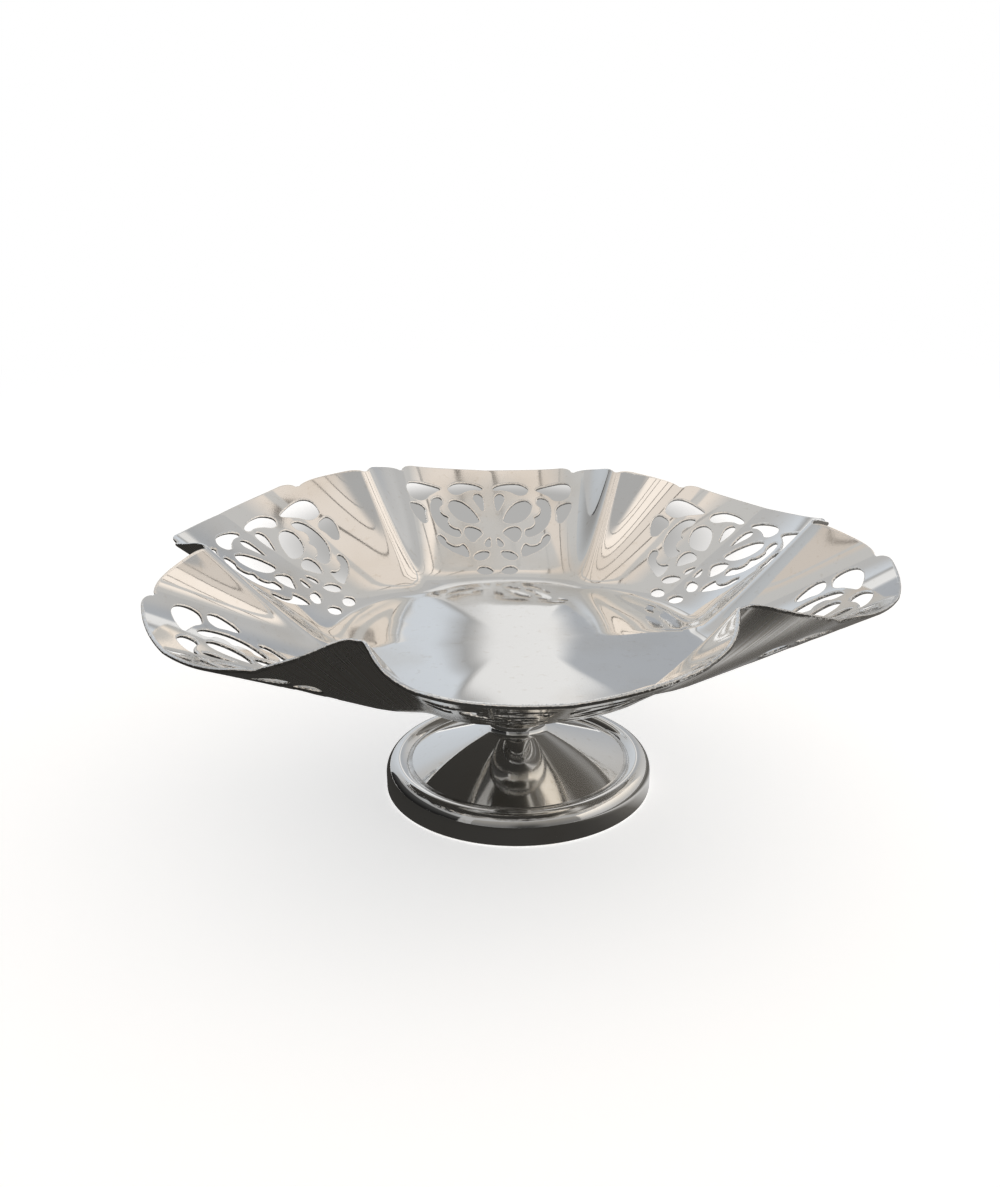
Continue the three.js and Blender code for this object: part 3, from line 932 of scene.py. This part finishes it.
@dataclass(frozen=True)
class SilverPlate:
    """Polished silver plate: near a mirror, with hand-polish ripple, fine scratches and a breath of tarnish.

    A grain is a noise's scale and detail. A range is two values of a noise and, where it has four, what they
    turn into.
    """

    name: str
    bright: Colour = tone(0.93, 0.92, 0.90)
    tarnished: Colour = tone(0.78, 0.73, 0.66)
    # Colour inside the flutes underneath: unpolished metal, darkened partly as painted shade under the bowl
    unpolished_and_shaded: Colour = tone(0.80, 0.75, 0.69)
    gloss: float = 0.035
    hazed: float = 0.10
    dulled: float = 0.30
    brushed: float = 0.6  # share of the dulled roughness that is left in the bright streaks
    cloud_grain: Pair = (34.0, 4.0)
    cloud_stain_range: tuple[float, ...] = (0.46, 0.72, 0.0, 0.55)
    cloud_haze_range: Pair = (0.40, 0.75)
    speck_grain: Pair = (620.0, 3.0)
    speck_range: tuple[float, ...] = (0.60, 0.74, 0.0, 0.35)
    strokes: tuple[tuple[Triple, float], ...] = (((240.0, 5200.0, 900.0), 0.5), ((4600.0, 260.0, 900.0), -0.3))
    stroke_grain: Pair = (1.0, 2.0)
    stroke_range: Pair = (0.26, 0.42)
    streak_grain: Pair = (2.6, 6.0)
    streak_harshness: float = 0.75
    streak_bright_range: Pair = (0.35, 0.62)
    streak_rough_range: Pair = (0.3, 0.7)
    patch_grain: Pair = (90.0, 5.0)
    patch_range: tuple[float, ...] = (0.25, 0.60, 0.72, 1.0)
    burr_grain: Pair = (900.0, 2.0)
    ripple_grain: Pair = (42.0, 1.0)
    ripple: float = 0.00010
    scratch: float = 0.0000012
    burr: float = 0.0007
    inside_flutes: bool = False

    def material(self) -> Finish:
        """Makes the finish.

        Returns:
            The new material.
        """
        wiring = Wiring(self.name)
        place = wiring.place()
        cloud = wiring.grain(place, *self.cloud_grain)
        speck = wiring.grain(place, *self.speck_grain)
        one, two = (wiring.grain(wiring.place(*stroke), *self.stroke_grain) for stroke in self.strokes)
        strokes = wiring.sum(one, two, "MULTIPLY")
        stain = wiring.sum(wiring.spread(cloud, *self.cloud_stain_range), wiring.spread(speck, *self.speck_range))
        colour = wiring.blend(stain, self.bright, self.tarnished)
        rough = wiring.sum(wiring.spread(cloud, *self.cloud_haze_range, self.gloss, self.hazed),
                           wiring.spread(strokes, *self.stroke_range, 0.0, self.gloss))
        ripple = wiring.dent(wiring.grain(place, *self.ripple_grain), self.ripple)
        bumped = wiring.dent(strokes, self.scratch, ripple)
        if self.inside_flutes:
            scale, detail = self.streak_grain
            streak = wiring.add("TexNoise", {
                "W": wiring.layer(Layer.ACROSS), "Scale": scale, "Detail": detail,
                "Roughness": self.streak_harshness}, noise_dimensions="1D").outputs["Fac"]
            patch = wiring.spread(wiring.grain(place, *self.patch_grain), *self.patch_range)
            # Darker, duller finish on the flutes' undersides: partly unpolished metal, partly painted shade
            dull = wiring.sum(wiring.layer(Layer.FLUTE_DULL_AND_SHADE), patch, "MULTIPLY")
            brushed = wiring.blend(wiring.spread(streak, *self.streak_bright_range), self.unpolished_and_shaded, self.bright)
            colour = wiring.blend(dull, colour, brushed)
            harsh = wiring.spread(streak, *self.streak_rough_range, self.dulled, self.brushed * self.dulled)
            rough = wiring.sum(rough, wiring.sum(dull, harsh, "MULTIPLY"))
            burr = wiring.sum(wiring.grain(place, *self.burr_grain), wiring.layer(Layer.EDGE), "MULTIPLY")
            bumped = wiring.dent(burr, self.burr, bumped)
        return wiring.metal(colour, rough, bumped)


@dataclass(frozen=True)
class SoftSolder:
    """Soft solder: dull grey, a little lumpy where it froze."""

    name: str = "soft_solder"
    fresh: Colour = tone(0.84, 0.83, 0.81)
    aged: Colour = tone(0.62, 0.60, 0.57)
    stain_grain: Pair = (160.0, 3.0)
    stain_range: Pair = (0.35, 0.65)
    lump_grain: Pair = (420.0, 4.0)
    lump_range: Pair = (0.3, 0.7)
    roughness: Pair = (0.12, 0.30)
    lumps: float = 0.00007

    def material(self) -> Finish:
        """Makes the finish.

        Returns:
            The new material.
        """
        wiring = Wiring(self.name)
        place = wiring.place()
        lump = wiring.grain(place, *self.lump_grain)
        stain = wiring.spread(wiring.grain(place, *self.stain_grain), *self.stain_range)
        return wiring.metal(wiring.blend(stain, self.fresh, self.aged),
                            wiring.spread(lump, *self.lump_range, *self.roughness), wiring.dent(lump, self.lumps))


@dataclass(frozen=True)
class GlowCard:
    """One upright studio card: where it stands, its size, its tones along the bottom and its tone at the top."""

    name: str
    azimuth: float
    distance: float
    width: float
    bottom: float
    top: float
    low: Stops
    high: Colour
    turn: Pair = (0.0, 1.0)  # shares of the height between which the low tones turn to the high one


def panel(bm: BMesh, matrix: Matrix) -> set[BMFace]:
    """Adds a panel of width 1, carried from the origin by a matrix, and gives its faces."""
    made = bmesh.ops.create_grid(bm, x_segments=1, y_segments=1, size=0.5, matrix=matrix)
    return {face for vert in made["verts"] for face in vert.link_faces}


@dataclass
class Studio:
    """Pale floor, a boarded ceiling that glows softly, and cards round the dish for the metal to mirror."""

    floor_size: float = 12.0
    floor_tone: Colour = tone(0.82)
    floor_glow: float = 0.62
    even_from: float = 0.22
    even_to: float = 0.75
    # Painted shade on the floor behind the dish, seen only by the camera: its centre, reach, soft edge and tone
    shade_centre: Triple = (0.013, 0.197, 0.0)
    shade_reach: float = 0.1011
    shade_edge: float = 0.040
    shade: Colour = tone(0.44, 0.435, 0.425)
    fill: float = 0.55
    mirrored: float = 0.35  # strength of the world in the metal, where it shows between the cards
    ceiling_height: float = 1.05
    ceiling_back: float = 6.0  # size of the panel that shows in the joints between the boards
    ceiling_gap: float = 0.04
    board_azimuth: float = math.radians(22.0)
    board_length: Pair = (-1.9, 1.3)
    joint: float = 0.016
    joint_tone: float = 0.20
    boards: tuple[Pair, ...] = (  # where each board starts, and its tone
        (-1.40, 0.60), (-0.95, 0.62), (-0.62, 0.68), (-0.45, 0.74), (-0.26, 0.82), (-0.08, 0.80), (0.11, 0.80),
        (0.29, 0.96), (0.41, 1.1), (0.61, 1.1), (0.73, 1.05), (0.97, 0.70), (1.11, 0.66), (1.30, 0.60),
        (1.43, 0.50), (1.80, 0.5),
    )
    cream: Colour = tone(1.0, 0.91, 0.825)
    beam_way: Triple = (-0.12, 1.0, 0.0)
    beam_span: Pair = (0.20, 0.70)
    beams: Stops = stops((0.0, 0.0), (0.14, 0.0), (0.18, 0.92), (0.34, 0.92), (0.38, 0.0), (0.46, 0.0),
                         (0.80, 1.0), (1.0, 1.0))
    far_tone: Colour = tone(0.56, 0.555, 0.545)
    front_span: Pair = (-0.52, -0.42)
    front_tone: Colour = tone(0.42)
    table_place: Triple = (0.05, -0.25, 0.0004)
    table_size: Triple = (1.5, 0.95, 1.0)
    table_way: Triple = (1.0, 0.5, 0.0)
    table_span: Pair = (-0.70, 0.80)
    table: Stops = stops((0.0, 0.034, 0.033, 0.031), (0.44, 0.034, 0.033, 0.031), (0.467, 0.045, 0.043, 0.04),
                         (0.475, 0.09, 0.086, 0.08), (0.479, 0.19, 0.182, 0.17), (0.482, 0.62), (0.486, 0.62),
                         (0.489, 0.12, 0.115, 0.107), (0.506, 0.13, 0.125, 0.118), (0.511, 0.28), (0.515, 0.28),
                         (0.52, 0.13, 0.125, 0.118), (0.75, 0.29, 0.28, 0.265), (1.0, 0.45, 0.44, 0.42))
    cards: tuple[GlowCard, ...] = (
        GlowCard("back_card", 8.0, 0.90, 2.10, 0.0, 1.04,
                 stops((0.0, 0.46, 0.48, 0.50), (0.40, 0.62, 0.66, 0.71), (0.448, 0.64, 0.68, 0.73),
                       (0.462, 0.36), (0.474, 0.80), (0.504, 0.82), (0.514, 0.42, 0.44, 0.47),
                       (0.56, 0.40, 0.42, 0.45), (0.70, 0.52), (1.0, 0.66)),
                 tone(0.50), (0.42, 0.75)),
        GlowCard("left_card", -82.0, 0.80, 1.50, 0.0, 0.50, stops((0.0, 0.012), (1.0, 0.012)), tone(0.06)),
        GlowCard("left_high_card", -82.0, 0.86, 1.60, 0.50, 1.04, stops((0.0, 0.30), (1.0, 0.30)),
                 tone(0.50, 0.52, 0.54)),
        GlowCard("right_card", 95.0, 1.30, 2.20, 0.0, 1.04, stops((0.0, 0.60), (1.0, 0.45)),
                 tone(1.0, 0.95, 0.88)),
        GlowCard("front_card", 180.0, 1.25, 2.40, 0.0, 1.04,
                 stops((0.0, 0.20), (0.35, 0.16), (0.45, 0.05), (0.55, 0.05), (0.65, 0.16), (1.0, 0.20)),
                 tone(0.30, 0.29, 0.27)),
    )

    def put(self, name: str, bm: BMesh, material: Finish, seen: bool = False) -> Piece:
        """Links a piece of the studio.

        Args:
            name: the new object's name.
            bm: its mesh. It is freed.
            material: its finish.
            seen: whether the camera sees it.

        Returns:
            The new object.
        """
        mesh = bpy.data.meshes.new(name)
        bm.to_mesh(mesh)
        bm.free()
        mesh.materials.append(material)
        prop = bpy.data.objects.new(name, mesh)
        prop.visible_camera = seen
        bpy.context.scene.collection.objects.link(prop)
        LOG.info("studio: %s", name)
        return prop

    def floor(self) -> None:
        """Lays the floor: lit near the dish, with a painted shade behind it that only the camera sees, and even
        white further out.
        """
        wiring = Wiring("pale_floor")
        ray = wiring.add("LightPath").outputs
        shown = wiring.sum(wiring.sum(ray["Is Camera Ray"], ray["Is Glossy Ray"], "MAXIMUM"),
                           ray["Is Transmission Ray"], "MAXIMUM")
        near = wiring.glow(tone(1.0), wiring.sum(shown, self.floor_glow, "MULTIPLY"))
        matt = wiring.add("BsdfDiffuse", {"Color": self.floor_tone}).outputs[0]
        lit = wiring.add("AddShader", {0: near, 1: matt}).outputs[0]
        out = wiring.spread(wiring.measure("LENGTH"), self.even_from, self.even_to)
        both = wiring.mix(wiring.sum(out, shown, "MULTIPLY"), lit, wiring.glow(tone(1.0), shown))
        # Painted shade on the floor behind the dish, for camera rays only
        aside = wiring.measure("DISTANCE", self.shade_centre)
        painted_shade_share = wiring.spread(aside, self.shade_reach - self.shade_edge, self.shade_reach, 1.0, 0.0)
        whole = wiring.mix(wiring.sum(painted_shade_share, ray["Is Camera Ray"], "MULTIPLY"), both, wiring.glow(self.shade))
        bm = bmesh.new()
        panel(bm, Matrix.Diagonal((self.floor_size, self.floor_size, 1.0, 1.0)))
        self.put("studio_floor", bm, wiring.close(whole), seen=True)

    def table_card(self) -> None:
        """Lays a dark card over the floor that only the metal sees."""
        wiring = Wiring("table_card_tone")
        colour = wiring.ramp(wiring.measure("DOT_PRODUCT", self.table_way), *self.table_span, self.table)
        bm = bmesh.new()
        panel(bm, Matrix.LocRotScale(self.table_place, None, self.table_size))
        card = self.put("table_card", bm, wiring.close(wiring.glow(colour)))
        card.visible_diffuse = card.visible_shadow = card.visible_transmission = False

    def ceiling(self) -> None:
        """Hangs the boarded ceiling, each board in its own tone, with dark joints between."""
        wiring = Wiring("ceiling_boards")
        along = wiring.measure("DOT_PRODUCT", self.beam_way)
        colour = wiring.blend(wiring.layer(Layer.BOARD), tone(0.0), self.cream)
        colour = wiring.blend(wiring.ramp(along, *self.beam_span, self.beams), colour, self.far_tone)
        colour = wiring.blend(wiring.spread(along, *self.front_span, 1.0, 0.0), colour, self.front_tone)
        low, high = self.board_length
        panels = [(((start + end) / 2.0, (low + high) / 2.0, self.ceiling_height),
                   (end - start - self.joint, high - low, 1.0), shade)
                  for (start, shade), (end, _) in zip(self.boards, self.boards[1:])]
        panels.append(((0.0, 0.0, self.ceiling_height + self.ceiling_gap),
                       (self.ceiling_back, self.ceiling_back, 1.0), self.joint_tone))
        bm = bmesh.new()
        layer = bm.faces.layers.float.new(Layer.BOARD.value)
        for place, size, shade in panels:
            for face in panel(bm, Matrix.LocRotScale(place, None, size)):
                face[layer] = shade
        bmesh.ops.rotate(bm, verts=bm.verts, cent=(0, 0, 0), matrix=Matrix.Rotation(-self.board_azimuth, 3, "Z"))
        self.put("boarded_ceiling", bm, wiring.close(wiring.glow(colour)))

    def stand(self, card: GlowCard) -> None:
        """Stands one card upright, facing the dish.

        Args:
            card: the card.
        """
        wiring = Wiring(card.name + "_tone")
        azimuth = math.radians(card.azimuth)
        where = wiring.add("SeparateXYZ", {0: wiring.place(turn=azimuth)}).outputs
        low = wiring.ramp(where["X"], -card.width / 2.0, card.width / 2.0, card.low)
        start, end = (card.bottom + (card.top - card.bottom) * share for share in card.turn)
        colour = wiring.blend(wiring.spread(where["Z"], start, end), low, card.high)
        middle = (card.bottom + card.top) / 2.0
        spot = (card.distance * math.sin(azimuth), card.distance * math.cos(azimuth), middle)
        bm = bmesh.new()
        upright = Matrix.Rotation(-azimuth, 4, "Z") @ Matrix.Rotation(math.pi / 2.0, 4, "X")
        size = Matrix.Diagonal((card.width, card.top - card.bottom, 1.0, 1.0))
        panel(bm, Matrix.Translation(spot) @ upright @ size)
        self.put(card.name, bm, wiring.close(wiring.glow(colour)))

    def world(self) -> None:
        """Sets the world: white behind everything, and a softer fill for the light that it throws."""
        wiring = Wiring("studio_world", world=True)
        ray = wiring.add("LightPath").outputs
        shown = wiring.sum(ray["Is Camera Ray"], ray["Is Transmission Ray"], "MAXIMUM")
        unseen = wiring.add("MapRange", {
            "Value": ray["Is Glossy Ray"], "To Min": self.fill, "To Max": self.mirrored}).outputs["Result"]
        level = wiring.add("MapRange", {"Value": shown, "To Min": unseen}).outputs["Result"]
        back = wiring.add("Background", {"Color": tone(1.0), "Strength": level}).outputs[0]
        bpy.context.scene.world = wiring.close(back)

    def build(self) -> None:
        """Sets up the whole studio."""
        self.world()
        self.floor()
        self.table_card()
        self.ceiling()
        for card in self.cards:
            self.stand(card)


@dataclass(frozen=True)
class Viewpoint:
    """Where the camera stands and how it is turned, in metres and radians."""

    position: Triple = (-0.024486, -0.229981, 0.12363)
    down: float = 0.33297
    right: float = math.radians(5.2294)
    lean: float = -0.014586
    lens: float = 35.264
    sensor: float = 36.0
    clip: Pair = (0.01, 50.0)

    def build(self) -> None:
        """Sets up the camera."""
        data = bpy.data.cameras.new("camera")
        data.lens, data.sensor_width, data.sensor_fit = self.lens, self.sensor, "AUTO"
        data.clip_start, data.clip_end = self.clip
        camera = bpy.data.objects.new("camera", data)
        turn = Matrix.Rotation(-self.right, 4, "Z") @ Matrix.Rotation(math.pi / 2.0 - self.down, 4, "X")
        camera.matrix_world = Matrix.Translation(self.position) @ turn @ Matrix.Rotation(self.lean, 4, "Z")
        bpy.context.scene.collection.objects.link(camera)
        bpy.context.scene.camera = camera


def dress(piece: Piece, node: str, finish: Finish) -> None:
    """Gives a piece its finish and its place in the frame.

    Args:
        piece: the piece.
        node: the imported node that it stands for.
        finish: its material.
    """
    piece.data.materials.append(finish)
    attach(piece, "root")
    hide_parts(node)
    LOG.info("%s stands for %s in %s", piece.name, node, finish.name)


def main() -> None:
    """Builds every piece in order, dresses it, and sets up the studio."""
    logging.basicConfig(level=logging.INFO, format="%(name)s: %(message)s")
    bowl_plate = SilverPlate("bowl_plate_polished", inside_flutes=True).material()
    foot_plate = SilverPlate("foot_plate_polished").material()
    solder = SoftSolder().material()
    dress(Bowl().build(), "bowl", bowl_plate)
    foot = Foot()
    dress(foot.build_cone(), "foot_cone", foot_plate)
    dress(foot.build_band(), "foot_band", foot_plate)
    for layer, node in zip(foot.build_solder(), ("neck_solder", "band_solder")):
        dress(layer, node, solder)
    Studio().build()
    Viewpoint().build()
    bpy.context.scene.view_settings.view_transform = "Standard"


if __name__ == "__main__":
    main()
